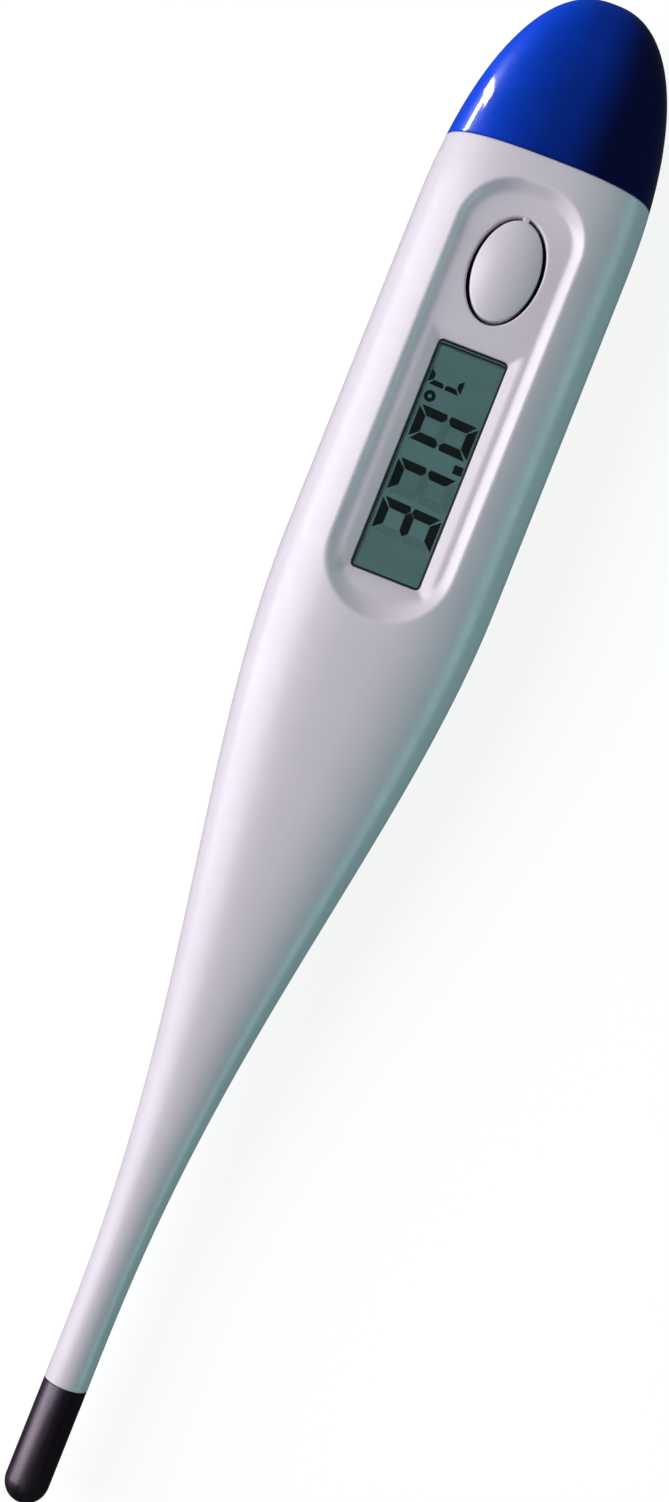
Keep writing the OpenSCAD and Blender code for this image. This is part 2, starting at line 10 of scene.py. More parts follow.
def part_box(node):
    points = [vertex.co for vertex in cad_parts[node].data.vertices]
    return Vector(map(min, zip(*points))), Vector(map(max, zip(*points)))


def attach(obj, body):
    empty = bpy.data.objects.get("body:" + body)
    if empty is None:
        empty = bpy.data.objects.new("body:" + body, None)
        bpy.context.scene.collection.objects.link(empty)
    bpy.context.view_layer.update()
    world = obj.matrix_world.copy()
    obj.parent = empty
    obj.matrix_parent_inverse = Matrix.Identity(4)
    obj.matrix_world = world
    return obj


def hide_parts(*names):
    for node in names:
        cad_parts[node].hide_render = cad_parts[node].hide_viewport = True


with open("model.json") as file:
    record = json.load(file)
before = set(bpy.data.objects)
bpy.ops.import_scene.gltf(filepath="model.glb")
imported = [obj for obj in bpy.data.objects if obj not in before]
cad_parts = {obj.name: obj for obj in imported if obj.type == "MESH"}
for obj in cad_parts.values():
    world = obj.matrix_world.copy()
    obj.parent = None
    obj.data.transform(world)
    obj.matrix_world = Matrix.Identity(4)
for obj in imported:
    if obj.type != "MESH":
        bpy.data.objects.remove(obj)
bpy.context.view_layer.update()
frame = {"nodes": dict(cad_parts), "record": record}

# ---------- places, read from the frame ----------
# Stations run along the stick from the probe's end, in millimetres.

MM = 0.001
START = np.array([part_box("probe_tip")[0][0] / MM, 0.0, 0.0])


def node_box(node):
    """Lowest and highest corner of a CAD node in millimetres, with x as a station."""
    low, high = (np.array(c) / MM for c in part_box(node))
    return low - START, high - START


TIP_LOW, TIP_HIGH = node_box("probe_tip")
HOUSING_LOW, HOUSING_HIGH = node_box("housing")
CAP_LOW, CAP_HIGH = node_box("battery_cap")
SEAL_LOW, SEAL_HIGH = node_box("window_seal")
LENS_LOW, LENS_HIGH = node_box("display_window")
BUTTON_LOW, BUTTON_HIGH = node_box("power_button")
CELL_LOW, CELL_HIGH = node_box("cell_can")
CELL_CAP_LOW, CELL_CAP_HIGH = node_box("cell_cap")
SEGMENTS_Z = node_box("lcd_segments")[0][2]

TOTAL = CAP_HIGH[0]
SEAM = CAP_LOW[0]
STEM_R = (TIP_HIGH[1] - TIP_LOW[1]) / 2
MID_Z = (TIP_HIGH[2] + TIP_LOW[2]) / 2
FULL_W = HOUSING_HIGH[1]

# ---------- outline of the stick, as in the CAD ----------

TAPER_FROM = 12.0         # station where the stem starts to swell
SIDE_TO, FRONT_TO, BACK_TO = 77.0, 84.0, 74.0   # stations where the sides, front and back stop swelling
SWELL_BEND = 1.2
NOSE_FROM, NOSE_POW = 104.0, 2.25
BOXINESS = 0.6            # how far the full section is from an ellipse
FRONT_RISE, BACK_DROP = 5.2, 5.45   # full heights above and below the stem's axis
BORE_R = 0.9
SKIN_WALL, CAP_WALL, CAP_GAP, SPIGOT_WALL = 1.25, 1.0, 0.08, 0.9
SPIGOT_END = HOUSING_HIGH[0]
FLAT_SOFT = 0.12          # softness of the edge round the flat back

# ---------- sunk front panel ----------

PANEL_FROM, PANEL_TO, PANEL_W = 72.6, 107.6, 9.85
PANEL_CORNER = 4.2        # corner radius at the cap end
PANEL_Z = 9.35
WALL_W, WALL_W_TIP = 0.95, 1.9   # width of the panel's wall, and at its end towards the tip
WALL_WIDENS = 6.0         # length over which it widens
RIM_SOFT = 0.14
BEVEL_SOFT = 0.25
CEILING_Z = SEAL_LOW[2]
SEAL_GAP = 0.01
WINDOW_FROM, WINDOW_TO = SEAL_LOW[0] - SEAL_GAP, SEAL_HIGH[0] + SEAL_GAP
WINDOW_W = SEAL_HIGH[1] - SEAL_LOW[1] + 2 * SEAL_GAP
WINDOW_CORNER = 0.4
BEVEL_W, BEVEL_DEPTH = 0.88, 0.3
SEAL_W = 0.17

# ---------- button ----------

BUTTON_LEN, BUTTON_W = 8.6, 5.6
BUTTON_AT = BUTTON_HIGH[0] - BUTTON_LEN / 2
BUTTON_GAP = 0.3
BUTTON_EDGE = PANEL_Z + 0.05
BUTTON_CROWN = BUTTON_HIGH[2] - BUTTON_EDGE
BUTTON_BOTTOM = CEILING_Z + 0.05


def ease(t):
    """Smooth step from 0 to 1."""
    return t * t * (3 - 2 * t)


def swell(s, to):
    """Share of the growth from stem to full size at a station."""
    t = np.clip((s - TAPER_FROM) / (to - TAPER_FROM), 0, 1)
    return ease(t ** SWELL_BEND)


def nose(s, inset):
    """Share of the full size left at a station, as the outline closes towards the cap's end."""
    k = np.clip((s - NOSE_FROM) / (TOTAL - inset - NOSE_FROM), 0, 1)
    return np.maximum(1 - k ** NOSE_POW, 0) ** (1 / NOSE_POW)


def reach(s, full, to, inset):
    """Half size of the section at a station, inset from the skin."""
    size = STEM_R + (full - STEM_R) * swell(s, to) - inset
    return np.maximum(size, BORE_R) * nose(s, inset)


def soft_max(a, b, k):
    """The larger of a and b, with the corner between them rounded over a width of k."""
    h = np.clip(0.5 + 0.5 * (a - b) / k, 0, 1)
    return b + (a - b) * h + k * h * (1 - h)


def section(s, inset, angles, floor=0.0):
    """Rounded sections at the stations s, as arrays of x, y and z with one row for each station."""
    s, inset = np.asarray(s, float)[:, None], np.asarray(inset, float)[:, None]
    power = 2 / (2 + BOXINESS * swell(s, SIDE_TO))
    c, d = np.cos(angles)[None], np.sin(angles)[None]
    high = reach(s, FRONT_RISE, FRONT_TO, inset)
    low = reach(s, BACK_DROP, BACK_TO, inset)
    y = reach(s, FULL_W, SIDE_TO, inset) * np.sign(c) * np.abs(c) ** power
    z = MID_Z + np.where(d > 0, high, low) * np.sign(d) * np.abs(d) ** power
    z = soft_max(z, floor, FLAT_SOFT)
    return s + 0 * y, y, z


def panel_inside(s, y):
    """Distance inside the sunk panel's outline, negative outside it."""
    middle, hx, hy = (PANEL_FROM + PANEL_TO) / 2, (PANEL_TO - PANEL_FROM) / 2, PANEL_W / 2
    corner = np.where(s < middle, hy, PANEL_CORNER)
    qx, qy = np.abs(s - middle) - (hx - corner), np.abs(y) - (hy - corner)
    outside = np.hypot(np.maximum(qx, 0), np.maximum(qy, 0))
    return corner - outside - np.minimum(np.maximum(qx, qy), 0)


def window_outside(s, y):
    """Distance outside the window, nearly square at the corners so that the bevels meet in mitres."""
    qx = np.abs(s - (WINDOW_FROM + WINDOW_TO) / 2) - (WINDOW_TO - WINDOW_FROM) / 2
    qy = np.abs(y) - WINDOW_W / 2
    return (np.maximum(qx, 0) ** 5 + np.maximum(qy, 0) ** 5) ** 0.2


def sink_panel(s, y, z):
    """Lowers the front surface z into the sunk panel with its soft wall and the bevel round the window."""
    near_tip = ease(np.clip((PANEL_FROM + WALL_WIDENS - s) / WALL_WIDENS, 0, 1))
    width = WALL_W + (WALL_W_TIP - WALL_W) * near_tip
    inside = panel_inside(s, y)
    t = np.clip(soft_max(inside, 0, RIM_SOFT) / width, 0, 1)
    t = np.where(inside < -RIM_SOFT, 0, t)
    bevel = soft_max(1 - window_outside(s, y) / BEVEL_W, 0, BEVEL_SOFT)
    floor = PANEL_Z - BEVEL_DEPTH * np.clip(bevel, 0, 1)
    return z - np.maximum(z - floor, 0) * (1 - (1 - t) ** 2)


# ---------- mesh helpers ----------

def make_object(name, verts_mm, faces, material, smooth_angle=35.0):
    """Mesh object from points in millimetres with stations as x, smooth but for edges past an angle."""
    points = (np.asarray(verts_mm, float) + START) * MM
    mesh = bpy.data.meshes.new(name)
    mesh.from_pydata(points.tolist(), [], [tuple(int(i) for i in f) for f in faces])
    mesh.validate()
    obj = bpy.data.objects.new(name, mesh)
    bpy.context.collection.objects.link(obj)
    mesh.materials.append(material)
    finish_mesh(obj, smooth_angle)
    return obj


def finish_mesh(obj, smooth_angle=35.0):
    """Points all faces outward, shades them smooth and marks the edges that stay sharp."""
    bm = bmesh.new()
    bm.from_mesh(obj.data)
    bmesh.ops.remove_doubles(bm, verts=bm.verts, dist=1e-7)
    bmesh.ops.dissolve_degenerate(bm, edges=bm.edges, dist=1e-7)
    bmesh.ops.recalc_face_normals(bm, faces=bm.faces)
    limit = math.radians(smooth_angle)
    for f in bm.faces:
        f.smooth = True
    for e in bm.edges:
        e.smooth = not (e.is_manifold and e.calc_face_angle(0.0) > limit)
    bm.to_mesh(obj.data)
    bm.free()
    obj.data.update()


def tube_faces(rows, around, closed=False):
    """Quads of a grid of rings, each row joined to the next."""
    faces = []
    for j in range(rows if closed else rows - 1):
        a, b = j * around, ((j + 1) % rows) * around
        for i in range(around):
            k = (i + 1) % around
            faces.append((a + i, b + i, b + k, a + k))
    return faces


def lathe(name, profile, material, axis="x", at=(0.0, 0.0, 0.0), steps=64, smooth_angle=35.0):
    """Turned solid. profile is a list of (along, radius) that ends on the axis or closes on itself."""
    angles = np.linspace(0, 2 * math.pi, steps, endpoint=False)
    verts = []
    for along, r in profile:
        for a in angles:
            u, v = r * math.cos(a), r * math.sin(a)
            verts.append((along, u, v) if axis == "x" else (u, v, along))
    verts = np.array(verts) + np.array(at)
    on_axis = profile[0][1] < 1e-6 and profile[-1][1] < 1e-6
    faces = tube_faces(len(profile), steps, closed=not on_axis)
    return make_object(name, verts, faces, material, smooth_angle)


def arc(cx, cy, r, start, end, count=6):
    """Points of an arc in a profile, with angles in degrees."""
    return [
        (cx + r * math.cos(math.radians(start + (end - start) * i / count)),
         cy + r * math.sin(math.radians(start + (end - start) * i / count)))
        for i in range(count + 1)
    ]


def rounded_outline(x0, x1, y0, y1, r, count=8):
    """Points round a rectangle with round corners."""
    corners = [(x1 - r, y1 - r, 0), (x0 + r, y1 - r, 90), (x0 + r, y0 + r, 180), (x1 - r, y0 + r, 270)]
    points = []
    for cx, cy, start in corners:
        points += arc(cx, cy, r, start, start + 90, count)
    return points


def oval_outline(length, width, count=96):
    """Points round an ellipse about the button's centre."""
    angles = np.linspace(0, 2 * math.pi, count, endpoint=False)
    return [(BUTTON_AT + length / 2 * math.cos(a), width / 2 * math.sin(a)) for a in angles]


def grown(outline, grow):
    """Outline moved out by grow along its own normals."""
    p = np.array(outline)
    along = np.roll(p, -1, axis=0) - np.roll(p, 1, axis=0)
    normal = np.stack([along[:, 1], -along[:, 0]], 1)
    normal /= np.maximum(np.linalg.norm(normal, axis=1, keepdims=True), 1e-9)
    return p + grow * normal


def stack(name, layers, material, smooth_angle=35.0):
    """Closed solid through a list of (outline, height), with a flat face at each end."""
    n = len(layers[0][0])
    verts = [(x, y, z) for outline, z in layers for x, y in outline]
    faces = tube_faces(len(layers), n)
    faces += [tuple(range(n - 1, -1, -1)), tuple(range((len(layers) - 1) * n, len(layers) * n))]
    return make_object(name, verts, faces, material, smooth_angle)


def prism(name, outline, z0, z1, material, edge=0.0, smooth_angle=35.0):
    """Upright solid with a small round edge at both ends."""
    if edge <= 0:
        return stack(name, [(outline, z0), (outline, z1)], material, smooth_angle)
    layers = []
    for turn in range(5):
        a = math.radians(22.5 * turn)
        layers.append((grown(outline, edge * (math.sin(a) - 1)), z0 + edge * (1 - math.cos(a))))
    for turn in range(5):
        a = math.radians(22.5 * turn)
        layers.append((grown(outline, edge * (math.cos(a) - 1)), z1 - edge * (1 - math.sin(a))))
    return stack(name, layers, material, smooth_angle)


def rounded_box(name, low, high, material, edge=0.1):
    """Block between two corners with rounded edges."""
    low, high = np.array(low, float), np.array(high, float)
    bm = bmesh.new()
    bmesh.ops.create_cube(bm, size=1.0)
    for v in bm.verts:
        share = np.array(v.co) + 0.5
        v.co = Vector((low + share * (high - low) + START) * MM)
    bmesh.ops.bevel(bm, geom=bm.edges[:], offset=edge * MM, segments=3, profile=0.5, affect="EDGES")
    mesh = bpy.data.meshes.new(name)
    bm.to_mesh(mesh)
    bm.free()
    obj = bpy.data.objects.new(name, mesh)
    bpy.context.collection.objects.link(obj)
    mesh.materials.append(material)
    finish_mesh(obj)
    return obj


def cut(obj, cutters, operation="DIFFERENCE", smooth_angle=35.0):
    """Cuts closed solids out of obj, or adds them to it, and removes them."""
    for cutter in cutters:
        mod = obj.modifiers.new("cut", "BOOLEAN")
        mod.operation, mod.object, mod.solver = operation, cutter, "MANIFOLD"
    graph = bpy.context.evaluated_depsgraph_get()
    made = bpy.data.meshes.new_from_object(obj.evaluated_get(graph))
    obj.modifiers.clear()
    obj.data = made
    for cutter in cutters:
        bpy.data.objects.remove(cutter)
    finish_mesh(obj, smooth_angle)
    return obj


def joined(name, pieces):
    """One object from several that touch."""
    bm = bmesh.new()
    for piece in pieces:
        bm.from_mesh(piece.data)
    mesh = bpy.data.meshes.new(name)
    bm.to_mesh(mesh)
    bm.free()
    mesh.materials.append(pieces[0].data.materials[0])
    obj = bpy.data.objects.new(name, mesh)
    bpy.context.collection.objects.link(obj)
    for piece in pieces:
        bpy.data.objects.remove(piece)
    return obj


# ---------- material helpers ----------

def new_material(name, colour, roughness, metallic=0.0):
    """Material and its shader node, with plain values to start from."""
    mat = bpy.data.materials.new(name)
    mat.use_nodes = True
    shader = mat.node_tree.nodes["Principled BSDF"]
    shader.inputs["Base Color"].default_value = (*colour, 1.0)
    shader.inputs["Roughness"].default_value = roughness
    shader.inputs["Metallic"].default_value = metallic
    return mat, shader


def noise_node(mat, scale, detail=3.0, stretch=(1.0, 1.0, 1.0)):
    """Noise in the object's own coordinates. scale is in features for each metre."""
    nodes, links = mat.node_tree.nodes, mat.node_tree.links
    where = nodes.new("ShaderNodeTexCoord")
    mapping = nodes.new("ShaderNodeMapping")
    mapping.inputs["Scale"].default_value = stretch
    tex = nodes.new("ShaderNodeTexNoise")
    tex.inputs["Scale"].default_value = scale
    tex.inputs["Detail"].default_value = detail
    links.new(where.outputs["Object"], mapping.inputs["Vector"])
    links.new(mapping.outputs["Vector"], tex.inputs["Vector"])
    return tex.outputs["Fac"]


def ramp_node(mat, factor, stops):
    """Colour ramp through (place, colour) stops."""
    node = mat.node_tree.nodes.new("ShaderNodeValToRGB")
    for place, colour in stops[2:]:
        node.color_ramp.elements.new(place)
    for element, (place, colour) in zip(node.color_ramp.elements, sorted(stops)):
        element.position = place
        element.color = (*colour, 1.0)
    mat.node_tree.links.new(factor, node.inputs["Fac"])
    return node.outputs["Color"]


def vary_colour(mat, shader, colour, amount, scale, detail=3.0, stretch=(1.0, 1.0, 1.0)):
    """Mottles the base colour by a share of itself."""
    dark = tuple(c * (1 - amount) for c in colour)
    light = tuple(min(c * (1 + amount), 1.0) for c in colour)
    out = ramp_node(mat, noise_node(mat, scale, detail, stretch), [(0.3, dark), (0.7, light)])
    mat.node_tree.links.new(out, shader.inputs["Base Color"])


def vary_roughness(mat, shader, low, high, scale, detail=4.0, stretch=(1.0, 1.0, 1.0)):
    """Uneven gloss between two roughness values."""
    node = mat.node_tree.nodes.new("ShaderNodeMapRange")
    node.inputs["From Min"].default_value, node.inputs["From Max"].default_value = 0.3, 0.7
    node.inputs["To Min"].default_value, node.inputs["To Max"].default_value = low, high
    mat.node_tree.links.new(noise_node(mat, scale, detail, stretch), node.inputs["Value"])
    mat.node_tree.links.new(node.outputs["Result"], shader.inputs["Roughness"])


def add_bump(mat, shader, scale, depth_mm, strength=0.3, detail=3.0, stretch=(1.0, 1.0, 1.0)):
    """Fine relief of a given depth."""
    node = mat.node_tree.nodes.new("ShaderNodeBump")
    node.inputs["Strength"].default_value = strength
    node.inputs["Distance"].default_value = depth_mm * MM
    mat.node_tree.links.new(noise_node(mat, scale, detail, stretch), node.inputs["Height"])
    mat.node_tree.links.new(node.outputs["Normal"], shader.inputs["Normal"])


# ---------- materials ----------

def white_plastic():
    """Satin moulded plastic with a fine grain."""
    colour = (0.82, 0.75, 0.88)
    mat, shader = new_material("white_plastic", colour, 0.33)
    vary_colour(mat, shader, colour, 0.02, 180)
    vary_roughness(mat, shader, 0.28, 0.40, 900)
    add_bump(mat, shader, 4200, 0.012, 0.25)
    shader.inputs["Subsurface Weight"].default_value = 0.15
    shader.inputs["Subsurface Radius"].default_value = (0.0012, 0.0009, 0.0009)
    shader.inputs["Subsurface Scale"].default_value = 1.0
    shader.inputs["Coat Weight"].default_value = 0.15
    shader.inputs["Coat Roughness"].default_value = 0.2
    return mat


def blue_plastic():
    """Deep blue plastic under a clear gloss."""
    colour = (0.001, 0.046, 0.53)
    mat, shader = new_material("blue_plastic", colour, 0.14)
    vary_colour(mat, shader, colour, 0.10, 220)
    vary_roughness(mat, shader, 0.26, 0.36, 1200)
    add_bump(mat, shader, 2600, 0.004, 0.05)
    shader.inputs["Specular IOR Level"].default_value = 0.12
    shader.inputs["Coat Weight"].default_value = 0.9
    shader.inputs["Coat Roughness"].default_value = 0.06
    return mat


def tip_steel():
    """Dull drawn steel with fine lines along it."""
    colour = (0.160, 0.130, 0.170)
    mat, shader = new_material("tip_steel", colour, 0.34, 1.0)
    along = (0.08, 1.0, 1.0)
    vary_colour(mat, shader, colour, 0.24, 1500, 5.0, along)
    vary_roughness(mat, shader, 0.30, 0.46, 1800, 5.0, along)
    add_bump(mat, shader, 5200, 0.004, 0.35, 4.0, along)
    return mat


def window_plastic():
    """Clear acrylic that bends what is seen through it."""
    mat, shader = new_material("clear_window", (0.97, 0.99, 0.985), 0.03)
    shader.inputs["Transmission Weight"].default_value = 1.0
    shader.inputs["IOR"].default_value = 1.49
    vary_roughness(mat, shader, 0.01, 0.05, 700)
    return mat


def clear_layer(name, colour, alpha):
    """Thin clear sheet that barely tints what lies below it."""
    mat, shader = new_material(name, colour, 0.12)
    shader.inputs["Alpha"].default_value = alpha
    vary_roughness(mat, shader, 0.08, 0.16, 500)
    return mat


def display_film(name, colour):
    """Grey-green reflective film of the display, faintly clouded."""
    mat, shader = new_material(name, colour, 0.45)
    shader.inputs["Specular IOR Level"].default_value = 0.1
    vary_colour(mat, shader, colour, 0.10, 160, 2.0, (2.2, 0.5, 1.0))
    add_bump(mat, shader, 9000, 0.004, 0.2)
    return mat


def segment_black():
    """Dark display segments, with no gloss of their own because they lie against glass."""
    colour = (0.010, 0.016, 0.017)
    mat, shader = new_material("segment_black", colour, 0.6)
    vary_colour(mat, shader, colour, 0.25, 900)
    shader.inputs["Specular IOR Level"].default_value = 0.0
    return mat


def plain_pattern(name, colour, roughness, metallic=0.0, mottle=0.06, grain=900, depth=0.01):
    """Small inner piece: mottled colour, uneven gloss and fine grain."""
    mat, shader = new_material(name, colour, roughness, metallic)
    vary_colour(mat, shader, colour, mottle, grain * 0.4)
    vary_roughness(mat, shader, roughness * 0.85, min(roughness * 1.2, 1.0), grain)
    add_bump(mat, shader, grain * 2, depth)
    return mat


def brushed_metal(name, colour, roughness, stretch):
    """Plain metal with lines along the axes that stretch leaves low."""
    mat, shader = new_material(name, colour, roughness, 1.0)
    vary_colour(mat, shader, colour, 0.08, 300, 3.0, stretch)
    vary_roughness(mat, shader, roughness * 0.8, roughness * 1.3, 500, 4.0, stretch)
    add_bump(mat, shader, 400, 0.006, 0.3, 3.0, stretch)
    return mat


def make_materials():
    """Every material by the name of its slot, and one for the display's unlit shapes."""
    return {
        "white_plastic": white_plastic(),
        "blue_plastic": blue_plastic(),
        "clear_window": window_plastic(),
        # the seal's near-black is partly painted shade: it also stands in for the shadow in the gap round
        # the window
        "seal_black": plain_pattern("seal_black", (0.012, 0.012, 0.014), 0.55),
        "tip_steel": tip_steel(),
        "black_resin": plain_pattern("black_resin", (0.02, 0.02, 0.021), 0.35, mottle=0.2, grain=500),
        "bead_glass": plain_pattern("bead_glass", (0.42, 0.20, 0.10), 0.12, mottle=0.15),
        "copper_wire": brushed_metal("copper_wire", (0.70, 0.33, 0.16), 0.3, (0.1, 1, 1)),
        "solder": plain_pattern("solder", (0.68, 0.69, 0.71), 0.28, 1.0, grain=1500),
        "board_green": plain_pattern("board_green", (0.03, 0.20, 0.085), 0.35, mottle=0.18, grain=1500),
        "clear_polariser": clear_layer("clear_polariser", (0.05, 0.07, 0.065), 0.012),
        "lcd_glass": clear_layer("lcd_glass", (0.06, 0.08, 0.08), 0.01),
        "segment_black": segment_black(),
        "seal_resin": plain_pattern("seal_resin", (0.10, 0.17, 0.16), 0.5),
        "display_back": display_film("display_back", (0.120, 0.265, 0.268)),
        "unlit_segment": display_film("unlit_segment", (0.100, 0.218, 0.222)),
        "grey_plastic": plain_pattern("grey_plastic", (0.62, 0.63, 0.65), 0.42, mottle=0.04),
        "pink_rubber": plain_pattern("pink_rubber", (0.55, 0.32, 0.36), 0.6, mottle=0.2),
        "tan_ceramic": plain_pattern("tan_ceramic", (0.48, 0.33, 0.19), 0.4, mottle=0.12),
        "black_ceramic": plain_pattern("black_ceramic", (0.03, 0.03, 0.033), 0.3),
        "black_plastic": plain_pattern("black_plastic", (0.02, 0.02, 0.022), 0.45),
        "contact_steel": brushed_metal("contact_steel", (0.60, 0.60, 0.62), 0.3, (1, 12, 1)),
        "contact_brass": brushed_metal("contact_brass", (0.72, 0.55, 0.26), 0.28, (12, 1, 1)),
        "cell_steel": brushed_metal("cell_steel", (0.62, 0.62, 0.63), 0.24, (1, 14, 1)),
        "gasket_green": plain_pattern("gasket_green", (0.03, 0.14, 0.08), 0.5),
        "foam_cream": plain_pattern("foam_cream", (0.74, 0.71, 0.60), 0.85, mottle=0.12, depth=0.05),
        "white_ceramic": plain_pattern("white_ceramic", (0.74, 0.72, 0.64), 0.35, mottle=0.05),
        "wire_red": plain_pattern("wire_red", (0.50, 0.02, 0.015), 0.4),
        "wire_black": plain_pattern("wire_black", (0.015, 0.015, 0.015), 0.4),
    }


# ---------- housing, cap, button ----------

SLEEVE_IN = 0.2           # the stem's end steps in by this to take the metal tip
SEAM_EDGE = 0.16          # round edge of the housing at the cap's seam
LIP_EDGE = 0.14           # round edge of the cap's mouth
FINE_TO = 5.7             # half width of the front that has an even, fine grid


def section_angles(fine_to, fine_step, side_count, back_count):
    """Angles round a section: evenly fine across the front, coarser down the sides and the back."""
    power = 2 / (2 + BOXINESS)
    across = np.arange(fine_to, -fine_to - 1e-9, -fine_step)
    front = np.arccos(np.sign(across) * (np.abs(across) / FULL_W) ** (1 / power))
    side = np.linspace(0, front[0], side_count, endpoint=False)
    far_side = np.pi - side[::-1]
    back = np.linspace(np.pi, 2 * np.pi, back_count, endpoint=False)[1:]
    return np.concatenate([side, front, far_side, back])


def housing_rings():
    """(station, inset, is the outer surface) of each ring, out along the skin and back inside it."""
    spigot_in = CAP_WALL + CAP_GAP
    neck_in = spigot_in + SPIGOT_WALL
    sleeve_end = TIP_HIGH[0]
    rings = [(HOUSING_LOW[0], SLEEVE_IN, 0), (sleeve_end, SLEEVE_IN, 0)]
    rings += [(sleeve_end, 0.06, 1), (sleeve_end + 0.05, 0.0, 1)]
    rings += [(s, 0.0, 1) for s in np.arange(sleeve_end + 0.4, PANEL_FROM - 1.0, 0.5)]
    rings += [(s, 0.0, 1) for s in np.arange(PANEL_FROM - 1.0, SEAM - 0.2, 0.13)]
    rings += [(SEAM - SEAM_EDGE + x, SEAM_EDGE - r, 1) for x, r in arc(0, 0, SEAM_EDGE, 90, 0, 5)]
    rings += [(SEAM, spigot_in, 0)]
    rings += [(s, spigot_in, 0) for s in np.linspace(SEAM + 0.3, SPIGOT_END - 0.2, 10)]
    rings += [(SPIGOT_END - 0.06, spigot_in + 0.05, 0), (SPIGOT_END, spigot_in + 0.2, 0)]
    rings += [(SPIGOT_END, neck_in - 0.15, 0), (SPIGOT_END - 0.12, neck_in, 0)]
    rings += [(s, neck_in, 0) for s in np.linspace(SPIGOT_END - 0.6, SEAM - 1.8, 8)]
    rings += [(s, SKIN_WALL, 0) for s in np.linspace(105.0, 22.0, 60)]
    rings += [(HOUSING_LOW[0], SKIN_WALL, 0)]
    return np.array(rings)


def opening_cutters(material):
    """Solids that cut the window and button openings, each a little wider at its top edge."""
    window = rounded_outline(WINDOW_FROM, WINDOW_TO, -WINDOW_W / 2, WINDOW_W / 2, WINDOW_CORNER)
    oval = oval_outline(BUTTON_LEN, BUTTON_W)
    seat = PANEL_Z - BEVEL_DEPTH
    low, above = CEILING_Z - 1, 1
    window_layers = [(window, low), (window, seat - 0.05)]
    window_layers += [(grown(window, 0.06), seat + 0.02), (grown(window, 0.06), seat + above)]
    oval_layers = [(oval, low), (oval, PANEL_Z - 0.12), (grown(oval, 0.05), PANEL_Z - 0.04)]
    oval_layers += [(grown(oval, 0.13), PANEL_Z + 0.01), (grown(oval, 0.13), PANEL_Z + above)]
    return [stack("window_cut", window_layers, material), stack("oval_cut", oval_layers, material)]


def make_housing(mats):
    """White moulded body: skin, sunk panel and spigot in one closed surface, then its two openings."""
    angles = section_angles(FINE_TO, 0.13, 12, 44)
    rings = housing_rings()
    s, inset, outer = rings[:, 0], rings[:, 1], rings[:, 2] > 0
    x, y, z = section(s, inset, angles)
    front = outer[:, None] & (z > MID_Z)
    z = np.where(front, sink_panel(x, y, z), z)
    inner = (inset >= SKIN_WALL)[:, None] & (x > PANEL_FROM - 1) & (x < SEAM - 1.5)
    z = np.where(inner, np.minimum(z, CEILING_Z), z)
    verts = np.stack([x, y, z], 2).reshape(-1, 3)
    faces = tube_faces(len(s), len(angles), closed=True)
    body = make_object("housing_shell", verts, faces, mats["white_plastic"])
    return cut(body, opening_cutters(mats["white_plastic"]))


def nose_stations(start, inset, count):
    """Stations that crowd towards the end of the nose."""
    span = TOTAL - inset - NOSE_FROM
    first = math.asin(((start - NOSE_FROM) / span) ** (NOSE_POW / 2))
    turn = np.linspace(first, math.pi / 2, count)
    return NOSE_FROM + span * np.sin(turn) ** (2 / NOSE_POW)


def make_cap(mats):
    """Blue cap: outer and inner shell joined by a rounded mouth."""
    angles = section_angles(FINE_TO, 0.35, 30, 44)
    outer = nose_stations(SEAM + 0.25, 0.0, 90)
    inner = nose_stations(SEAM + 0.2, CAP_WALL, 30)[::-1]
    lip = [(SEAM + LIP_EDGE - x, LIP_EDGE - r) for x, r in arc(0, 0, LIP_EDGE, 0, 90, 5)]
    rings = [(s, CAP_WALL) for s in inner] + [(SEAM, CAP_WALL - 0.05)] + lip + [(s, 0.0) for s in outer]
    s, inset = np.array(rings).T
    x, y, z = section(s, inset, angles)
    verts = np.stack([x, y, z], 2).reshape(-1, 3)
    return make_object("cap_shell", verts, tube_faces(len(s), len(angles)), mats["blue_plastic"])


PAD_EDGE = 0.12           # round edge of the pad
DOME_FROM, DOME_STEPS = 0.955, 22   # the dome starts at this share of the pad's outline
EDGE_SHARE = 0.08         # share of the crown that the pad's edge already stands up
WEB_W, WEB_LAP, WEB_EDGE = 0.5, 0.25, 0.04
POST_R = 0.9


